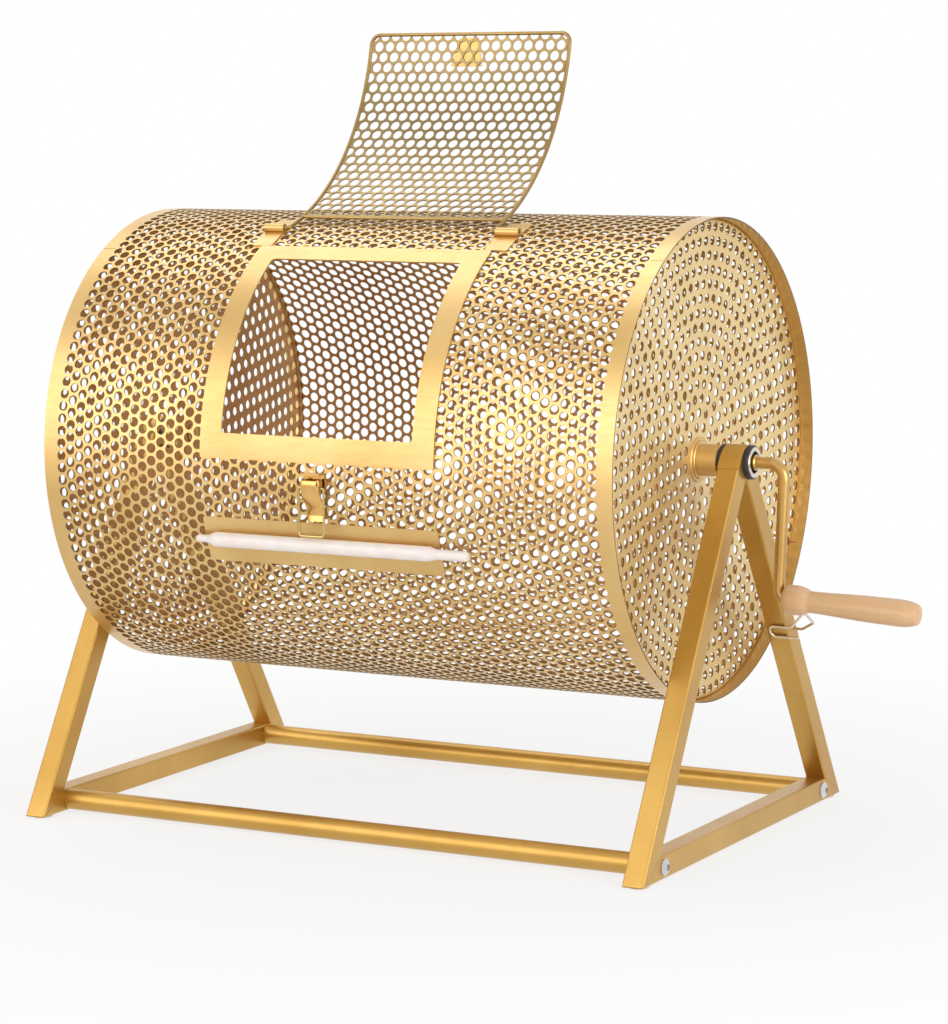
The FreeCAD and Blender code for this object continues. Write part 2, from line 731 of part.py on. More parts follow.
def make_lid_catch():
    """Tapered plate on the outer face at the free edge, with a hook that faces up when shut."""
    base = lid_radius + lid_sheet / 2
    thickness = 1.2
    wide_angle, narrow_angle = 78.5, 85.9
    wide, narrow = 15.0, 9.0
    hook_angle, hook_half_width, lift, lip = 82.0, 4.5, 4.7, 5.2
    out = on_drum(0, hook_angle, 1) - AXIS_POINT
    up = on_drum(0, hook_angle - 90, 1) - AXIS_POINT
    trapezoid = polygon_face([on_drum(-wide, wide_angle, base - 8), on_drum(wide, wide_angle, base - 8),
                              on_drum(narrow, narrow_angle, base - 8),
                              on_drum(-narrow, narrow_angle, base - 8)]).extrude(out * 16)
    plate = curved_plate(-wide, wide, wide_angle - 1, narrow_angle + 1, base, base + thickness)
    plate = plate.common(trapezoid)
    foot = on_drum(-hook_half_width, hook_angle, base + thickness - 0.4)
    outline = [foot, foot + out * lift, foot + out * lift + up * lip,
               foot + out * (lift - thickness) + up * lip,
               foot + out * (lift - thickness) + up * thickness, foot + up * thickness]
    hook = polygon_face(outline).extrude(V(2 * hook_half_width, 0, 0))
    return plate.fuse(hook).removeSplitter()


# ---------- draw latch ----------

def latch_point(x, drop, reach):
    return V(x, -drum_radius - reach, axis_height - drop)


def latch_profile(points, x0, x1):
    return polygon_face([latch_point(x0, drop, reach) for drop, reach in points]).extrude(
        V(x1 - x0, 0, 0))


def latch_round(drop, reach, radius, x0, x1):
    return Part.makeCylinder(radius, x1 - x0, latch_point(x0, drop, reach), X_AXIS)


def make_latch_base():
    """Curved foot on the drum with a ledge above the lever and two ears for the pivot pin."""
    foot = curved_plate(-9.5, 9.5, 90.8, 95.4, drum_radius, drum_radius + 1.4, 1.5)
    ledge = latch_profile([(2.2, 0.6), (2.2, 8.5), (3.4, 8.5), (3.4, 0.6)],
                          -lever_half_width, lever_half_width)
    half = 2.0
    ear = latch_profile([(pivot_drop - half, 0.8), (pivot_drop + half, 0.6),
                         (pivot_drop + half, pivot_reach), (pivot_drop - half, pivot_reach)],
                        ear_inner, ear_outer)
    ear = ear.fuse(latch_round(pivot_drop, pivot_reach, half, ear_inner, ear_outer))
    base = foot.fuse(ledge).fuse(ear).fuse(mirror_x(ear)).removeSplitter()
    return base.cut(latch_round(pivot_drop, pivot_reach, latch_pin_radius, -20, 20))


def make_latch_pin():
    """Pivot pin with a flat head each side, turning in the lever's cheeks."""
    reach = lever_half_width + 0.15
    pin = latch_round(pivot_drop, pivot_reach, latch_pin_radius, -reach, reach)
    head = latch_round(pivot_drop, pivot_reach, 1.9, reach, reach + 0.5)
    return pin.fuse(head).fuse(mirror_x(head)).removeSplitter()


def make_latch_lever():
    """Bent strap that lies down to the drum, with two cheeks that ride on the pivot pin."""
    line = [(8.2, 10.3), (13.0, 10.2), (18.0, 8.4), (24.0, 5.0), (30.0, 1.4), (34.5, -0.9),
            (38.0, -1.9), (42.0, -2.3)]

    def curve(shift):
        spline = Part.BSplineCurve()
        spline.interpolate([latch_point(-lever_half_width, drop, reach - shift) for drop, reach in line])
        return spline.toShape()

    outer, inner = curve(0), curve(lever_thickness)
    ends = [(outer.valueAt(outer.FirstParameter), inner.valueAt(inner.FirstParameter)),
            (outer.valueAt(outer.LastParameter), inner.valueAt(inner.LastParameter))]
    section = Part.Wire([outer, Part.makeLine(*ends[1]), inner, Part.makeLine(*ends[0])])
    strap = Part.Face(section).extrude(V(2 * lever_half_width, 0, 0))
    widths = [(6.6, 0.0), (6.6, 12.0), (lever_half_width, 14.0), (lever_half_width, 24.0),
              (lever_end_half_width, 50.0)]
    outline = [(x, drop) for x, drop in widths] + [(-x, drop) for x, drop in reversed(widths)]
    front = polygon_face([latch_point(x, drop, -8) for x, drop in outline])
    strap = strap.common(front.extrude(V(0, -30, 0)))
    cheek = latch_profile([(6.8, 6.0), (11.0, 3.4), (17.5, 4.9), (19.0, 7.2), (13.5, 9.4),
                           (8.4, 9.6), (6.8, 8.2)], cheek_inner, lever_half_width)
    cheek = cheek.fuse(latch_round(pivot_drop, pivot_reach, 2.6, cheek_inner, lever_half_width))
    lever = strap.fuse(cheek).fuse(mirror_x(cheek)).removeSplitter()
    lever = lever.cut(latch_round(pivot_drop, pivot_reach, latch_pin_radius + running_gap, -20, 20))
    return lever.cut(latch_round(bail_drop, bail_reach, bail_wire_radius + running_gap, -20, 20))


def make_latch_bail():
    """Wire loop that hangs from the lever's cheeks and hooks over the lid's catch."""
    low = bail_drop + bail_length
    points = [latch_point(-cheek_inner, bail_drop, bail_reach),
              latch_point(-bail_half_width, bail_drop, bail_reach),
              latch_point(-bail_half_width, low, bail_reach), latch_point(bail_half_width, low, bail_reach),
              latch_point(bail_half_width, bail_drop, bail_reach),
              latch_point(cheek_inner, bail_drop, bail_reach)]
    return bent_rod(rounded_path(points, [1.4, 3.0, 3.0, 1.4]), bail_wire_radius)


# ---------- build ----------

def build():
    parts = {}
    side = make_stand_side()
    for name, shape in side.items():
        parts["right_" + name] = shape
        parts["left_" + name] = mirror_x(shape)
    parts["front_crossbar"] = make_crossbar(-crossbar_y)
    parts["rear_crossbar"] = make_crossbar(crossbar_y)
    parts["crossbar_end_plugs"] = make_end_plugs()
    parts["crossbar_bolts"] = make_bolts()
    parts["foot_pads"] = make_foot_pads()
    parts["right_bearing_bushes"] = make_bushes()
    parts["right_bearing_ring"] = make_bearing_ring()
    parts["crank_catch"] = make_crank_catch()

    parts["drum_shell"] = make_shell()
    parts["right_end_disc"] = make_end_disc()
    parts["right_hub"] = make_hub()
    parts["right_stop_collar"] = make_stop_collar()
    parts["hub_grub_screws"] = make_grub_screws()
    parts["crank_rod"] = make_crank_rod()
    parts["left_stub_axle"] = make_stub_axle()
    parts["window_frame"] = make_window_frame()
    parts["left_hinge_strap"] = make_hinge_strap(*left_barrel)
    parts["right_hinge_strap"] = make_hinge_strap(*right_barrel)
    parts["latch_plate"] = make_latch_plate()
    parts["white_bar"] = make_white_bar()
    for name in ("bearing_bushes", "bearing_ring", "end_disc", "hub", "stop_collar"):
        parts["left_" + name] = mirror_x(parts["right_" + name])

    parts["crank_grip"] = make_grip()
    parts["grip_snap_ring"] = make_snap_ring()

    lid_frame = make_lid_frame()
    cross_wire = make_cross_wire(lid_frame)
    parts["lid_frame"] = open_lid(lid_frame)
    parts["lid_cross_wire"] = open_lid(cross_wire)
    parts["lid_panel"] = open_lid(make_lid_panel())
    parts["lid_catch"] = open_lid(make_lid_catch())

    parts["latch_base"] = make_latch_base()
    parts["latch_pin"] = make_latch_pin()
    parts["latch_lever"] = make_latch_lever()
    parts["latch_bail"] = make_latch_bail()
    return parts


os.makedirs("parts", exist_ok=True)
for node, shape in build().items():
    shape.exportStep("parts/" + node + ".step")
    print("%-24s %2d solid(s) %12.1f mm3 valid %s"
          % (node, len(shape.Solids), shape.Volume, shape.isValid()))
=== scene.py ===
import json
import math

import bmesh
import bpy
from mathutils import Matrix, Vector, geometry


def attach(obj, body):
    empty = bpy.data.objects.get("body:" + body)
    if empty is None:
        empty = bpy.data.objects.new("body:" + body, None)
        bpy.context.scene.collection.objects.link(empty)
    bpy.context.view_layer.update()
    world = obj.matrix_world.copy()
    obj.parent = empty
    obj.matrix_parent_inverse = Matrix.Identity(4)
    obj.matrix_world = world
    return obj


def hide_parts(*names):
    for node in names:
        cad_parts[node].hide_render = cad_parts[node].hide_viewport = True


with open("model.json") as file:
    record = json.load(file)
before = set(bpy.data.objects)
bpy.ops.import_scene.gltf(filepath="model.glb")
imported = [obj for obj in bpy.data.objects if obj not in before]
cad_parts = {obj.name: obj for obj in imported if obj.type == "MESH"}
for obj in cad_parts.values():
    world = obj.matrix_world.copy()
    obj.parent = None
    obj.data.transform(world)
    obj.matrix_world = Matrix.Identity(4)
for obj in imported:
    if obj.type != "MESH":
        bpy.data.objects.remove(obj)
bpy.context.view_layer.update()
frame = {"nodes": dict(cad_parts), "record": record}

bpy.ops.object.select_all(action="DESELECT")

axisHeight = 0.316
axisPoint = Vector((0, 0, axisHeight))


def onDrum(x, angle, radius):  # the angle is in degrees from straight up, towards the front
    turn = math.radians(angle)
    return Vector((x, -radius * math.sin(turn), axisHeight + radius * math.cos(turn)))


def pick(piece):
    bpy.ops.object.select_all(action="DESELECT")
    piece.select_set(True)
    bpy.context.view_layer.objects.active = piece


def applyAll(piece):
    pick(piece)
    for modifier in list(piece.modifiers):
        bpy.ops.object.modifier_apply(modifier=modifier.name)


def mergeDoubles(piece, distance):
    pick(piece)
    bpy.ops.object.mode_set(mode="EDIT")
    bpy.ops.mesh.select_all(action="SELECT")
    bpy.ops.mesh.remove_doubles(threshold=distance)
    bpy.ops.object.mode_set(mode="OBJECT")


def smoothByAngle(piece, degrees=35):
    pick(piece)
    bpy.ops.object.shade_smooth_by_angle(angle=math.radians(degrees))


def finishPiece(piece, body, slotName, *nodes):
    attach(piece, body)
    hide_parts(*nodes)


def startMaterial(name):
    material = bpy.data.materials.new(name)
    material.use_nodes = True
    tree = material.node_tree
    shader = tree.nodes["Principled BSDF"]
    place = tree.nodes.new("ShaderNodeTexCoord").outputs["Object"]
    return material, tree, shader, place


def mapped(tree, place, scale=(1, 1, 1), turn=(0, 0, 0), shift=(0, 0, 0)):
    node = tree.nodes.new("ShaderNodeMapping")
    node.inputs["Scale"].default_value = scale
    node.inputs["Rotation"].default_value = turn
    node.inputs["Location"].default_value = shift
    tree.links.new(place, node.inputs["Vector"])
    return node.outputs["Vector"]


def noise(tree, vector, scale, detail=4, roughness=0.5, distortion=0):
    node = tree.nodes.new("ShaderNodeTexNoise")
    node.inputs["Scale"].default_value = scale
    node.inputs["Detail"].default_value = detail
    node.inputs["Roughness"].default_value = roughness
    node.inputs["Distortion"].default_value = distortion
    tree.links.new(vector, node.inputs["Vector"])
    return node.outputs["Fac"]


def ramp(tree, value, *stops):
    node = tree.nodes.new("ShaderNodeValToRGB")
    while len(node.color_ramp.elements) < len(stops):
        node.color_ramp.elements.new(0.5)
    for element, (position, colour) in zip(node.color_ramp.elements, stops):
        element.position = position
        element.color = (*colour, 1)
    tree.links.new(value, node.inputs["Fac"])
    return node.outputs["Color"]


def spread(tree, value, low, high, fromLow=0.3, fromHigh=0.7):
    node = tree.nodes.new("ShaderNodeMapRange")
    numbers = {"From Min": fromLow, "From Max": fromHigh, "To Min": low, "To Max": high}
    for socket, number in numbers.items():
        node.inputs[socket].default_value = number
    tree.links.new(value, node.inputs["Value"])
    return node.outputs["Result"]


def bump(tree, shader, height, distance, strength=1.0, under=None):
    node = tree.nodes.new("ShaderNodeBump")
    node.inputs["Distance"].default_value = distance
    node.inputs["Strength"].default_value = strength
    tree.links.new(height, node.inputs["Height"])
    if under:
        tree.links.new(under, node.inputs["Normal"])
    tree.links.new(node.outputs["Normal"], shader.inputs["Normal"])


coating = {"cloud": (9, 9, 9), "peel": (320, 320, 320), "peelDepth": 0.000012, "peelStrength": 0.5,
           "coatRoughness": 0.22}


def coatedMetal(name, look):  # satin gold coating on steel: cloudy tone, fine orange peel, faint rub marks
    material, tree, shader, place = startMaterial(name)
    cloud = noise(tree, mapped(tree, place, coating["cloud"]), 1.0, 3, 0.55)
    tone = ramp(tree, cloud, (0.3, look["deep"]), (0.5, look["colour"]), (0.72, look["light"]))
    tree.links.new(tone, shader.inputs["Base Color"])
    marks = noise(tree, mapped(tree, place, look["grain"]), 1.0, 5, 0.6)
    tree.links.new(spread(tree, marks, look["smooth"], look["rough"]), shader.inputs["Roughness"])
    peel = noise(tree, mapped(tree, place, coating["peel"]), 1.0, 1, 0.4)
    rounded = None
    if look.get("edge"):  # square tube has small rounded corners
        corner = tree.nodes.new("ShaderNodeBevel")
        corner.inputs["Radius"].default_value = look["edge"]
        rounded = corner.outputs["Normal"]
    bump(tree, shader, peel, coating["peelDepth"], coating["peelStrength"], rounded)
    shader.inputs["Metallic"].default_value = look["metallic"]
    shader.inputs["Coat Weight"].default_value = look["coat"]
    shader.inputs["Coat Roughness"].default_value = coating["coatRoughness"]
    return material


drumLook = {"colour": (0.69, 0.455, 0.17), "deep": (0.61, 0.385, 0.125), "light": (0.77, 0.53, 0.22),
            "grain": (60, 400, 400), "smooth": 0.34, "rough": 0.46, "metallic": 0.88, "coat": 0.45}
# the end discs: a lighter copy of the drum coating, as painted light for the brightly lit end discs
discPaintedLightLook = {"colour": (0.81, 0.61, 0.29), "deep": (0.74, 0.535, 0.235), "light": (0.88, 0.70, 0.37),
            "grain": (400, 60, 60), "smooth": 0.38, "rough": 0.5, "metallic": 0.8, "coat": 0.1}
# the lid sheet: a darker copy of the drum coating, as painted shade for the dimly lit face of the open lid
lidShadeLook = {"colour": (0.31, 0.215, 0.085), "deep": (0.25, 0.165, 0.06), "light": (0.38, 0.27, 0.115),
           "grain": (60, 400, 400), "smooth": 0.34, "rough": 0.44, "metallic": 0.86, "coat": 0.15}
standLook = {"colour": (0.55, 0.317, 0.068), "deep": (0.49, 0.272, 0.053), "light": (0.62, 0.372, 0.092),
             "grain": (250, 250, 90), "smooth": 0.32, "rough": 0.41, "metallic": 0.8, "coat": 0.2,
             "edge": 0.0016}
wireLook = {"colour": (0.37, 0.235, 0.08), "deep": (0.31, 0.19, 0.06), "light": (0.44, 0.29, 0.11),
            "grain": (120, 500, 500), "smooth": 0.28, "rough": 0.4, "metallic": 0.88, "coat": 0.2}
shaftLook = {"colour": (0.55, 0.33, 0.10), "deep": (0.49, 0.28, 0.08), "light": (0.62, 0.40, 0.135),
             "grain": (90, 500, 500), "smooth": 0.25, "rough": 0.36, "metallic": 0.9, "coat": 0.25}
# the inside faces of the shell and the discs: the drum coating darkened, as painted shade for the dim inside
# of the drum
innerShadeLook = {"colour": (0.52, 0.27, 0.09), "deep": (0.44, 0.215, 0.065), "light": (0.60, 0.33, 0.12),
             "grain": (60, 400, 400), "smooth": 0.4, "rough": 0.54, "metallic": 0.84, "coat": 0.1}
# the walls of the punched holes: the drum coating darkened, as painted shade for the dark rims of the holes
cutEdgeShadeLook = {"colour": (0.24, 0.145, 0.045), "deep": (0.18, 0.105, 0.03), "light": (0.31, 0.195, 0.065),
           "grain": (400, 400, 400), "smooth": 0.4, "rough": 0.55, "metallic": 0.8, "coat": 0.05}
drumMetal = coatedMetal("drumGold", drumLook)
discPaintedLight = coatedMetal("discPaintedLightGold", discPaintedLightLook)
lidPaintedShade = coatedMetal("lidPaintedShadeGold", lidShadeLook)
innerPaintedShade = coatedMetal("innerPaintedShadeGold", innerShadeLook)
cutEdgePaintedShade = coatedMetal("cutEdgePaintedShadeGold", cutEdgeShadeLook)
standMetal = coatedMetal("standGold", standLook)
wireMetal = coatedMetal("lidWireGold", wireLook)
shaftMetal = coatedMetal("shaftGold", shaftLook)


polish = {"cloud": (40, 40, 40), "scratchStrength": 0.5}


def polishedMetal(name, look):  # bare metal with a cloudy tone and fine polishing lines
    material, tree, shader, place = startMaterial(name)
    cloud = noise(tree, mapped(tree, place, polish["cloud"]), 1.0, 4, 0.6)
    tone = ramp(tree, cloud, (0.35, look["deep"]), (0.65, look["colour"]))
    tree.links.new(tone, shader.inputs["Base Color"])
    lines = noise(tree, mapped(tree, place, look["grain"]), 1.0, 6, 0.65)
    tree.links.new(spread(tree, lines, look["smooth"], look["rough"]), shader.inputs["Roughness"])
    bump(tree, shader, lines, look["scratch"], polish["scratchStrength"])
    shader.inputs["Metallic"].default_value = 1.0
    return material


latchLook = {"colour": (0.74, 0.455, 0.155), "deep": (0.64, 0.37, 0.11), "smooth": 0.16, "rough": 0.24,
             "grain": (240, 60, 60), "scratch": 0.000008}
bailLook = {"colour": (0.58, 0.45, 0.18), "deep": (0.48, 0.36, 0.13), "smooth": 0.12, "rough": 0.2,
            "grain": (240, 60, 60), "scratch": 0.000008}
steelLook = {"colour": (0.76, 0.70, 0.62), "deep": (0.64, 0.58, 0.49), "smooth": 0.18, "rough": 0.32,
             "grain": (120, 700, 700), "scratch": 0.00003}
chromeLook = {"colour": (0.66, 0.66, 0.68), "deep": (0.56, 0.56, 0.59), "smooth": 0.1, "rough": 0.18,
              "grain": (300, 300, 300), "scratch": 0.00001}
latchMetal = polishedMetal("latchBrass", latchLook)
bailMetal = polishedMetal("bailBrass", bailLook)
brightSteel = polishedMetal("brightSteel", steelLook)
chromeMetal = polishedMetal("boltChrome", chromeLook)


beechLook = {"pale": (0.78, 0.50, 0.275), "mid": (0.73, 0.45, 0.235), "dark": (0.66, 0.385, 0.185),
             "fleck": (0.50, 0.27, 0.12, 1), "droop": 2.7, "grain": (7, 150, 150),
             "fleckGrain": (160, 1500, 1500), "fleckDepth": 0.00006, "smooth": 0.36, "rough": 0.48,
             "coat": 0.25, "coatRoughness": 0.25}


def beechWood(name, look):  # long grain along the grip, short dark flecks, thin lacquer
    material, tree, shader, place = startMaterial(name)
    turned = mapped(tree, place, turn=(0, math.radians(-look["droop"]), 0))
    broad = noise(tree, mapped(tree, turned, look["grain"]), 1.0, 4, 0.55, 0.6)
    tone = ramp(tree, broad, (0.3, look["dark"]), (0.48, look["mid"]), (0.68, look["pale"]))
    fleck = noise(tree, mapped(tree, turned, look["fleckGrain"]), 1.0, 2, 0.5)
    fleckMask = ramp(tree, fleck, (0.60, (0, 0, 0)), (0.70, (0.3, 0.3, 0.3)))
    blend = tree.nodes.new("ShaderNodeMix")
    blend.data_type = "RGBA"
    tree.links.new(fleckMask, blend.inputs[0])
    tree.links.new(tone, blend.inputs[6])
    blend.inputs[7].default_value = look["fleck"]
    tree.links.new(blend.outputs[2], shader.inputs["Base Color"])
    tree.links.new(spread(tree, broad, look["smooth"], look["rough"]), shader.inputs["Roughness"])
    bump(tree, shader, fleck, look["fleckDepth"], 0.5)
    shader.inputs["Coat Weight"].default_value = look["coat"]
    shader.inputs["Coat Roughness"].default_value = look["coatRoughness"]
    return material


moulding = {"cloud": (70, 70, 70), "grain": (1300, 1300, 1300), "grainDepth": 0.00003, "scatterReach": 0.004}
blackLook = {"colour": (0.035, 0.033, 0.038), "deep": (0.022, 0.021, 0.025), "smooth": 0.38, "rough": 0.5,
             "scatter": 0.0}
cloudyLook = {"colour": (0.94, 0.87, 0.83), "deep": (0.90, 0.81, 0.77), "smooth": 0.14, "rough": 0.22,
              "scatter": 0.4}
padLook = {"colour": (0.78, 0.76, 0.72), "deep": (0.70, 0.68, 0.64), "smooth": 0.45, "rough": 0.6,
           "scatter": 0.0}


def mouldedPlastic(name, look):  # a fine moulded grain, and some light passes into the cloudy white one
    material, tree, shader, place = startMaterial(name)
    cloud = noise(tree, mapped(tree, place, moulding["cloud"]), 1.0, 3, 0.5)
    tone = ramp(tree, cloud, (0.35, look["deep"]), (0.65, look["colour"]))
    tree.links.new(tone, shader.inputs["Base Color"])
    fine = noise(tree, mapped(tree, place, moulding["grain"]), 1.0, 2, 0.5)
    tree.links.new(spread(tree, fine, look["smooth"], look["rough"]), shader.inputs["Roughness"])
    bump(tree, shader, fine, moulding["grainDepth"], 0.5)
    shader.inputs["Subsurface Weight"].default_value = look["scatter"]
    shader.inputs["Subsurface Scale"].default_value = moulding["scatterReach"]
    return material


beech = beechWood("lacqueredBeech", beechLook)
blackPlastic = mouldedPlastic("blackPlastic", blackLook)
whitePlastic = mouldedPlastic("cloudyWhitePlastic", cloudyLook)
padPlastic = mouldedPlastic("palePad", padLook)
print("materials ready")

slotMaterials = {"drum_coating": drumMetal, "lid_coating": lidPaintedShade, "lid_wire_coating": wireMetal,
                 "stand_coating": standMetal, "shaft_coating": shaftMetal, "latch_brass": latchMetal,
                 "beech": beech, "black_plastic": blackPlastic, "white_plastic": whitePlastic,
                 "bright_steel": brightSteel, "chrome": chromeMetal, "pale_pad": padPlastic}
nodeMaterials = {"latch_bail": bailMetal, "lid_catch": shaftMetal}
for subpart in frame["record"]["subparts"]:
    node = frame["nodes"][subpart["node"]]
    for holder in node.material_slots:
        holder.material = nodeMaterials.get(subpart["node"], slotMaterials[subpart["material_slot"]])


def holeLoop(centre, radius, corners):
    return [(centre[0] + radius * math.cos(2 * math.pi * i / corners),
             centre[1] + radius * math.sin(2 * math.pi * i / corners)) for i in range(corners)]


fillTolerance = 0.000001


def punchedSheet(name, loops, holes, radius, corners, keep):
    # a flat sheet, filled between its outline loops and its round holes wherever keep says so
    points, edges = [], []
    for loop in loops + [holeLoop(centre, radius, corners) for centre in holes]:
        start = len(points)
        points += [Vector(point) for point in loop]
        edges += [(start + i, start + (i + 1) % len(loop)) for i in range(len(loop))]
    made = geometry.delaunay_2d_cdt(points, edges, [], 1, fillTolerance)
    flat = made[0]
    faces = [face for face in made[2] if keep(sum((flat[i] for i in face), Vector((0, 0))) / len(face))]
    mesh = bpy.data.meshes.new(name)
    mesh.from_pydata([(point.x, point.y, 0) for point in flat], [], faces)
    mesh.update()
    piece = bpy.data.objects.new(name, mesh)
    bpy.context.collection.objects.link(piece)
    pick(piece)
    bpy.ops.object.mode_set(mode="EDIT")
    bpy.ops.mesh.select_all(action="SELECT")
    bpy.ops.mesh.delete_loose()
    bpy.ops.object.mode_set(mode="OBJECT")
    return piece


def reshape(piece, place):
    for vertex in piece.data.vertices:
        vertex.co = place(vertex.co)
    piece.data.update()


def pointOut(piece, away):  # turns all faces over if the first one looks against what away gives there
    face = piece.data.polygons[0]
    if face.normal.dot(away(face.center)) < 0:
        pick(piece)
        bpy.ops.object.mode_set(mode="EDIT")
        bpy.ops.mesh.select_all(action="SELECT")
        bpy.ops.mesh.flip_normals()
        bpy.ops.object.mode_set(mode="OBJECT")


def giveThickness(piece, thickness, outside, inside):  # the cut edges get painted shade, darker than both faces
    piece.data.materials.append(outside)
    piece.data.materials.append(inside)
    piece.data.materials.append(cutEdgePaintedShade)
    solid = piece.modifiers.new("thickness", "SOLIDIFY")
    solid.thickness = thickness
    solid.offset = -1
    solid.material_offset = 1
    solid.material_offset_rim = 2
    applyAll(piece)
    smoothByAngle(piece)


def holeTest(holes, radius, corners):  # returns a test for lying in one of many equal many-sided holes
    cell = radius * 2
    step = 2 * math.pi / corners
    flatReach = radius * math.cos(math.pi / corners)
    bins = {}
    for centre in holes:
        bins.setdefault((math.floor(centre[0] / cell), math.floor(centre[1] / cell)), []).append(centre)

    def inHole(point):
        column, row = math.floor(point.x / cell), math.floor(point.y / cell)
        for i in (column - 1, column, column + 1):
            for j in (row - 1, row, row + 1):
                for centre in bins.get((i, j), ()):
                    dx, dy = point.x - centre[0], point.y - centre[1]
                    reach = math.hypot(dx, dy)
                    turn = (math.atan2(dy, dx) % step) - step / 2
                    if reach < radius and reach * math.cos(turn) < flatReach:
                        return True
        return False

    return inHole


shell = {"radius": 0.200, "sheet": 0.0012, "halfLength": 0.267, "holeRadius": 0.00425, "around": 120,
         "columns": 56, "corners": 12, "windowHalfWidth": 0.0915, "windowTop": 34.6, "windowBottom": 82.9,
         "windowCorner": 0.004, "seamAngle": -117, "rimStart": 0.2565,
         "windowSteps": 12, "windowRim": 0.0006, "middleRim": 0.0005, "weld": 0.00002,
         "jointAngle": 32.0, "jointGap": 0.0005, "jointStart": 0.2546, "jointEnd": 0.2664}


def alongShell(angle):  # distance round the shell from straight up, towards the front
    return math.radians(angle) * shell["radius"]


def shellWindow():  # half its width, then its top and bottom edges along the shell
    return shell["windowHalfWidth"], alongShell(shell["windowTop"]), alongShell(shell["windowBottom"])


def inWindow(x, y, margin):
    halfWidth, top, bottom = shellWindow()
    return abs(x) < halfWidth + margin and top - margin < y < bottom + margin


def windowNotch(side):  # from the middle of the window's bottom edge, up its side, to its top edge
    halfWidth, top, bottom = shellWindow()
    cut, steps = shell["windowCorner"], shell["windowSteps"]
    lower = [(side * (halfWidth - cut) * i / steps, bottom) for i in range(steps)]
    lower += [(side * (halfWidth - cut + cut * math.sin(math.radians(t))),
               bottom - cut + cut * math.cos(math.radians(t))) for t in (0, 22.5, 45, 67.5, 90)]
    height = bottom - top - 2 * cut
    straight = [(side * halfWidth, bottom - cut - height * i / (2 * steps)) for i in range(1, 2 * steps)]
    return lower + straight + [(x, top + bottom - y) for x, y in reversed(lower)]


def shellOutline(side, columns, pitch, seam):  # the seam runs in zigzag between the holes
    rows = shell["around"]
    around = rows * pitch
    low = [(0.0, seam + 0.25 * pitch)] + [(x, seam + shift * pitch) for x, shift in columns]
    low.append((side * shell["halfLength"], low[-1][1]))
    high = [(x, y + around) for x, y in reversed(low)]
    inner, outer = low[0], low[-1]
    rim = [(outer[0], outer[1] + around * i / rows) for i in range(1, rows)]
    middle = [(0.0, inner[1] + around * (rows - i) / rows) for i in range(1, rows)]
    middle = [point for point in middle if not inWindow(*point, shell["middleRim"])]
    top, bottom = shellWindow()[1:]
    below = [point for point in middle if point[1] > bottom]
    above = [point for point in middle if point[1] < top]
    return low + rim + high + below + windowNotch(side) + above


def jointSlit(side):  # a fine slit across the end band, where its two ends meet
    joint, half = alongShell(shell["jointAngle"]), shell["jointGap"] / 2
    return [(side * shell["jointStart"], joint - half), (side * shell["jointEnd"], joint - half),
            (side * shell["jointEnd"], joint + half), (side * shell["jointStart"], joint + half)]


def inSlit(point):
    fromJoint = abs(point.y - alongShell(shell["jointAngle"]))
    return shell["jointStart"] < abs(point.x) < shell["jointEnd"] and fromJoint < shell["jointGap"] / 2


def shellHoles(columns, pitch, seam):
    reach = shell["holeRadius"] + shell["windowRim"]
    holes = [(x, seam + (row + shift + 0.5) * pitch)
             for x, shift in columns for row in range(shell["around"])]
    return [hole for hole in holes if not inWindow(*hole, reach)]


def makeShellHalf(name, side):
    pitch = 2 * math.pi * shell["radius"] / shell["around"]
    columnStep = pitch * math.sqrt(3) / 2
    seam = alongShell(shell["seamAngle"])
    perSide = shell["columns"] // 2
    columns = [(side * (i + 0.5) * columnStep, (i + (side > 0)) % 2 * 0.5) for i in range(perSide)]
    holes = shellHoles(columns, pitch, seam)
    loops = [shellOutline(side, columns, pitch, seam), jointSlit(side)]
    inHole = holeTest(holes, shell["holeRadius"], shell["corners"])
    piece = punchedSheet(name, loops, holes, shell["holeRadius"], shell["corners"],
                         lambda point: not inSlit(point) and not inHole(point))
    reshape(piece, lambda co: onDrum(co.x, math.degrees(co.y / shell["radius"]), shell["radius"]))
    mergeDoubles(piece, shell["weld"])
    pointOut(piece, lambda centre: Vector((0, centre.y, centre.z - axisHeight)))
    giveThickness(piece, shell["sheet"], drumMetal, innerPaintedShade)
    for face in piece.data.polygons:  # outside the end disc the inner face is in the open and shines as the outer one does, so it takes the outer colour instead of the painted shade
        if face.material_index == 1 and abs(face.center.x) > shell["rimStart"]:
            face.material_index = 0
    finishPiece(piece, "drum", "drum_coating", "drum_shell")
    print(name, len(holes), "holes", len(piece.data.polygons), "faces")


makeShellHalf("drumShellLeft", -1)
makeShellHalf("drumShellRight", 1)


disc = {"outer": 0.1988, "sheet": 0.0012, "edgeX": 0.2565, "dish": 0.0075, "lip": 0.0034, "bend": 0.0024,
        "centreHole": 0.009, "holeRadius": 0.0041, "corners": 12, "firstRing": 2, "rings": 16,
        "ringStep": 0.01179, "ringStart": 0.0034, "turn": 70, "rimCorners": 144, "centreCorners": 24,
        "bendSteps": 4, "edgeSlack": 0.0002, "centreShare": 0.98}


def discHoles():  # rings of 12, 18, 24 holes and so on
    holes = []
    for ring in range(disc["firstRing"], disc["rings"] + 1):
        radius = disc["ringStart"] + disc["ringStep"] * ring
        for i in range(6 * ring):
            turn = math.radians(disc["turn"] + 60 * i / ring)
            holes.append((radius * math.cos(turn), radius * math.sin(turn)))
    return holes


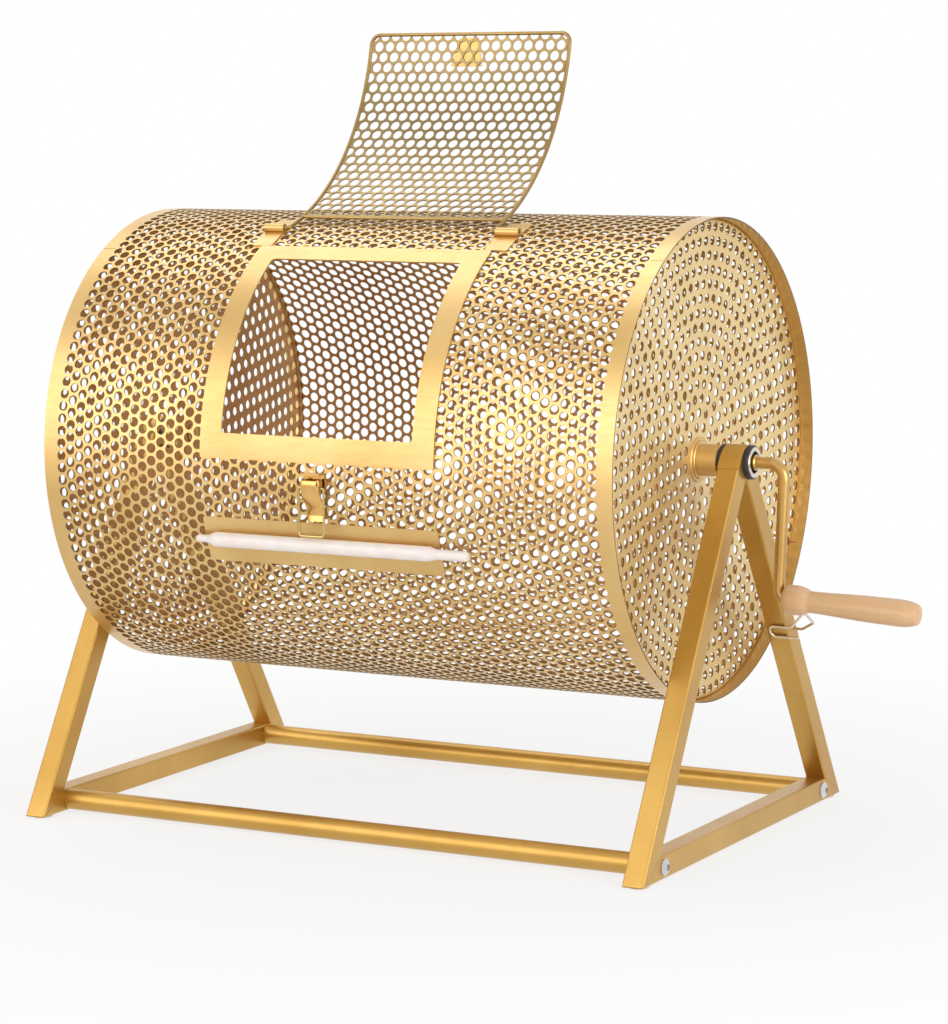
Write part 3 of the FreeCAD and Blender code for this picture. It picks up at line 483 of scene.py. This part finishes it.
def turnLip(piece, side, flatEdge):  # the edge is rounded over in steps, then the lip runs inwards
    pick(piece)
    bpy.ops.object.mode_set(mode="EDIT")
    bpy.ops.mesh.select_all(action="DESELECT")
    edit = bmesh.from_edit_mesh(piece.data)
    for element in edit.edges:
        element.select = element.is_boundary and all(
            math.hypot(v.co.y, v.co.z - axisHeight) > flatEdge - disc["edgeSlack"] for v in element.verts)
    bmesh.update_edit_mesh(piece.data)
    radius = flatEdge
    step = 90 / disc["bendSteps"]
    for i in range(disc["bendSteps"]):
        angle = step * (i + 1)
        wanted = flatEdge + disc["bend"] * math.sin(math.radians(angle))
        drop = disc["bend"] * (math.cos(math.radians(angle - step)) - math.cos(math.radians(angle)))
        bpy.ops.mesh.extrude_region_move(TRANSFORM_OT_translate={"value": (-side * drop, 0, 0)})
        share = wanted / radius
        bpy.ops.transform.resize(value=(1, share, share), center_override=axisPoint)
        radius = wanted
    straightLip = disc["lip"] - disc["bend"]
    bpy.ops.mesh.extrude_region_move(TRANSFORM_OT_translate={"value": (-side * straightLip, 0, 0)})
    bpy.ops.object.mode_set(mode="OBJECT")


def makeDisc(name, node, side):
    holes = discHoles()
    flatEdge = disc["outer"] - disc["bend"]
    loops = [holeLoop((0, 0), flatEdge, disc["rimCorners"]),
             holeLoop((0, 0), disc["centreHole"], disc["centreCorners"])]
    inHole = holeTest(holes, disc["holeRadius"], disc["corners"])
    innerEdge = disc["centreHole"] * disc["centreShare"]
    piece = punchedSheet(name, loops, holes, disc["holeRadius"], disc["corners"],
                         lambda point: point.length > innerEdge and not inHole(point))

    def dished(co):
        rise = disc["dish"] * ((co.x ** 2 + co.y ** 2) / disc["outer"] ** 2)
        return Vector((side * (disc["edgeX"] - disc["dish"] + rise), co.x, axisHeight + co.y))

    reshape(piece, dished)
    pointOut(piece, lambda centre: Vector((side, 0, 0)))
    turnLip(piece, side, flatEdge)
    giveThickness(piece, disc["sheet"], discPaintedLight, innerPaintedShade)
    finishPiece(piece, "drum", "drum_coating", node)
    print(name, len(holes), "holes", len(piece.data.polygons), "faces")


makeDisc("leftPunchedDisc", "left_end_disc", -1)
makeDisc("rightPunchedDisc", "right_end_disc", 1)


lid = {"halfWidth": 0.09573, "middle": 0.00085, "radius": 0.204, "sheet": 0.001, "top": 29.6, "edge": 86.14,
       "corner": 0.0069, "cornerSteps": 5, "sideStep": 0.008, "pitch": 0.0105, "rowStep": 0.0093,
       "rowShift": 0.0005, "topRim": 0.0005, "edgeShare": 0.6, "holeRadius": 0.0044, "corners": 14,
       "openAngle": 186.0, "hinge": (22.3, 0.204), "slot": "lid_coating"}


def roundCorners(half, top, radius, steps):  # right corner, then left
    loop = []
    for x, start in ((half - radius, 0), (-half + radius, 90)):
        for i in range(steps + 1):
            turn = math.radians(start + 90 * i / steps)
            loop.append((x + radius * math.cos(turn), top - radius + radius * math.sin(turn)))
    return loop


def lidHoles(top, edge):
    holes = []
    row = 0
    across = math.ceil(lid["halfWidth"] / lid["pitch"])
    while edge - row * lid["rowStep"] > top + lid["holeRadius"] + lid["topRim"]:
        shift = 0.5 if row % 2 else 0.0
        for i in range(-across, across + 1):
            x = (i + shift) * lid["pitch"]
            if abs(x) < lid["halfWidth"] + lid["holeRadius"] * lid["edgeShare"]:
                holes.append((x, edge - row * lid["rowStep"] + lid["rowShift"]))
        row += 1
    return holes


def lidOutline(top, edge):  # only the two corners at the free edge are round
    half = lid["halfWidth"]
    corners = roundCorners(half, edge, lid["corner"], lid["cornerSteps"]) + [(-half, top), (half, top)]
    outline = []
    for start, end in zip(corners, corners[1:] + corners[:1]):  # enough points along the sides to bend
        count = max(1, round(math.dist(start, end) / lid["sideStep"]))
        outline += [(start[0] + (end[0] - start[0]) * i / count, start[1] + (end[1] - start[1]) * i / count)
                    for i in range(count)]
    return outline


def makeLidPanel():
    top = math.radians(lid["top"]) * lid["radius"]
    edge = math.radians(lid["edge"]) * lid["radius"]
    half, corner = lid["halfWidth"], lid["corner"]
    holes = lidHoles(top, edge)
    inHole = holeTest(holes, lid["holeRadius"], lid["corners"])

    def keep(point):
        x, y = abs(point.x), point.y
        if x > half or not top < y < edge or inHole(point):
            return False
        dx, dy = x - (half - corner), y - (edge - corner)
        return not (dx > 0 and dy > 0 and math.hypot(dx, dy) > corner)

    piece = punchedSheet("lidPunchedPanel", [lidOutline(top, edge)], holes, lid["holeRadius"],
                         lid["corners"], keep)
    outside = lid["radius"] + lid["sheet"] / 2
    reshape(piece, lambda co: onDrum(co.x + lid["middle"], math.degrees(co.y / lid["radius"]), outside))
    pointOut(piece, lambda centre: Vector((0, centre.y, centre.z - axisHeight)))
    giveThickness(piece, lid["sheet"], lidPaintedShade, lidPaintedShade)
    hinge = onDrum(0, *lid["hinge"])
    swing = Matrix.Translation(hinge) @ Matrix.Rotation(math.radians(-lid["openAngle"]), 4, "X")
    piece.data.transform(swing @ Matrix.Translation(-hinge))
    finishPiece(piece, "lid", lid["slot"], "lid_panel")
    print("lid panel", len(holes), "holes", len(piece.data.polygons), "faces")


makeLidPanel()

# the strap's top leans a little, and from flareFrom down the lever curls out; top to flareFrom are below
# the drum's axis, and strapReach is in front of it
latchLever = {"top": 0.008, "level": 0.0115, "fold": 0.015, "foldEnd": 0.0182, "flareFrom": 0.030,
              "strapReach": 0.208, "lean": 0.09, "flare": 17.0, "weld": 0.000002, "smooth": 30}


def latchShift(point):  # how far a point moves to the front
    below = axisHeight - point.z
    if below > latchLever["flareFrom"]:
        return latchLever["flare"] * (below - latchLever["flareFrom"]) ** 2
    if -point.y < latchLever["strapReach"] or not latchLever["top"] < below < latchLever["foldEnd"]:
        return 0.0
    rise = min(below, latchLever["fold"]) - latchLever["level"]
    back = max(0.0, below - latchLever["fold"]) / (latchLever["foldEnd"] - latchLever["fold"])
    return latchLever["lean"] * rise * (1 - back)


def makeLatchLever():
    piece = bpy.data.objects.new("latchLeverStrap", frame["nodes"]["latch_lever"].data.copy())
    bpy.context.collection.objects.link(piece)
    mergeDoubles(piece, latchLever["weld"])
    for vertex in piece.data.vertices:
        vertex.co.y -= latchShift(vertex.co)
    piece.data.materials.clear()
    piece.data.materials.append(latchMetal)
    smoothByAngle(piece, latchLever["smooth"])
    finishPiece(piece, "latch_lever", "latch_brass", "latch_lever")
    print("latch lever", len(piece.data.polygons), "faces")


makeLatchLever()


view = {"azimuth": 28.4, "elevation": 7.35, "roll": -0.37, "distance": 2.8993,
        "lookAt": (0.03777, 0.0, 0.26054), "lens": 118.9, "near": 0.05, "far": 60}


def makeCamera():
    turn, rise, roll = (math.radians(view[key]) for key in ("azimuth", "elevation", "roll"))
    back = Vector((math.sin(turn) * math.cos(rise), -math.cos(turn) * math.cos(rise), math.sin(rise)))
    right = Vector((math.cos(turn), math.sin(turn), 0))
    up = back.cross(right)
    rolledRight = right * math.cos(roll) + up * math.sin(roll)
    rolledUp = up * math.cos(roll) - right * math.sin(roll)
    bpy.ops.object.camera_add()
    camera = bpy.context.object
    camera.name = "camera"
    basis = Matrix((rolledRight, rolledUp, back)).transposed().to_4x4()
    camera.matrix_world = Matrix.Translation(Vector(view["lookAt"]) + back * view["distance"]) @ basis
    camera.data.lens = view["lens"]
    camera.data.clip_start = view["near"]
    camera.data.clip_end = view["far"]
    bpy.context.scene.camera = camera


makeCamera()

lamps = {"key": {"place": (-1.5, -2.8, 1.25), "size": 2.4, "power": 32, "colour": (1, 0.975, 0.94)},
         "fill": {"place": (3.0, -1.3, 0.9), "size": 1.8, "power": 42, "colour": (1, 0.985, 0.965)},
         "top": {"place": (-1.2, 0.6, 2.9), "size": 1.7, "power": 14, "colour": (1, 0.99, 0.97)}}
lampAim = Vector((0.05, 0, 0.3))
for lampName, lamp in lamps.items():
    bpy.ops.object.light_add(type="AREA", location=lamp["place"])
    light = bpy.context.object
    light.name = lampName + "Lamp"
    light.data.size = lamp["size"]
    light.data.energy = lamp["power"]
    light.data.color = lamp["colour"]
    light.rotation_euler = (lampAim - light.location).to_track_quat("-Z", "Y").to_euler()


def combine(tree, operation, first, second):
    node = tree.nodes.new("ShaderNodeMath")
    node.operation = operation
    tree.links.new(first, node.inputs[0])
    tree.links.new(second, node.inputs[1])
    return node.outputs[0]


def seenDirectly(tree, rays, cameraShare=None):  # by the camera, or in a mirror or through glass
    total = rays.outputs["Is Camera Ray"]
    if cameraShare:
        total = combine(tree, "MULTIPLY", total, cameraShare)
    for kind in ("Is Glossy Ray", "Is Transmission Ray"):
        total = combine(tree, "MAXIMUM", total, rays.outputs[kind])
    return total


skyStrength = 0.55
world = bpy.data.worlds.new("studio")
bpy.context.scene.world = world
world.use_nodes = True
sky = world.node_tree
skyLight = sky.nodes["Background"]
skyLight.inputs["Color"].default_value = (1, 1, 1, 1)
skyLight.inputs["Strength"].default_value = skyStrength
plainWhite = sky.nodes.new("ShaderNodeBackground")
plainWhite.inputs["Color"].default_value = (1, 1, 1, 1)
plainWhite.inputs["Strength"].default_value = 1.0
rays = sky.nodes.new("ShaderNodeLightPath")
skyMix = sky.nodes.new("ShaderNodeMixShader")
sky.links.new(seenDirectly(sky, rays), skyMix.inputs[0])
sky.links.new(skyLight.outputs[0], skyMix.inputs[1])
sky.links.new(plainWhite.outputs[0], skyMix.inputs[2])
sky.links.new(skyMix.outputs[0], sky.nodes["World Output"].inputs["Surface"])

# the floor is pale under the object and fades to white for the camera further out
floorLook = {"size": 24, "colour": (0.9, 0.9, 0.9, 1), "rough": 0.9, "specular": 0.1,
             "white": (0.78, 1.0), "fade": (0.4, 0.9)}
bpy.ops.mesh.primitive_plane_add(size=floorLook["size"], location=(0, 0, 0))
floor = bpy.context.object
floor.name = "floor"
floorMaterial, floorTree, floorShader, floorPlace = startMaterial("paleFloor")
floorShader.inputs["Base Color"].default_value = floorLook["colour"]
floorShader.inputs["Roughness"].default_value = floorLook["rough"]
floorShader.inputs["Specular IOR Level"].default_value = floorLook["specular"]
distance = floorTree.nodes.new("ShaderNodeVectorMath")
distance.operation = "LENGTH"
floorTree.links.new(floorPlace, distance.inputs[0])
fade = spread(floorTree, distance.outputs["Value"], *floorLook["white"], *floorLook["fade"])
whiteGlow = floorTree.nodes.new("ShaderNodeEmission")
whiteGlow.inputs["Color"].default_value = (1, 1, 1, 1)
whiteGlow.inputs["Strength"].default_value = 1.0
floorRays = floorTree.nodes.new("ShaderNodeLightPath")
floorMix = floorTree.nodes.new("ShaderNodeMixShader")
floorTree.links.new(seenDirectly(floorTree, floorRays, fade), floorMix.inputs[0])
floorTree.links.new(floorShader.outputs[0], floorMix.inputs[1])
floorTree.links.new(whiteGlow.outputs[0], floorMix.inputs[2])
floorTree.links.new(floorMix.outputs[0], floorTree.nodes["Material Output"].inputs["Surface"])
floor.data.materials.append(floorMaterial)
bpy.context.scene.view_settings.view_transform = "Standard"
print("camera, light and floor ready")
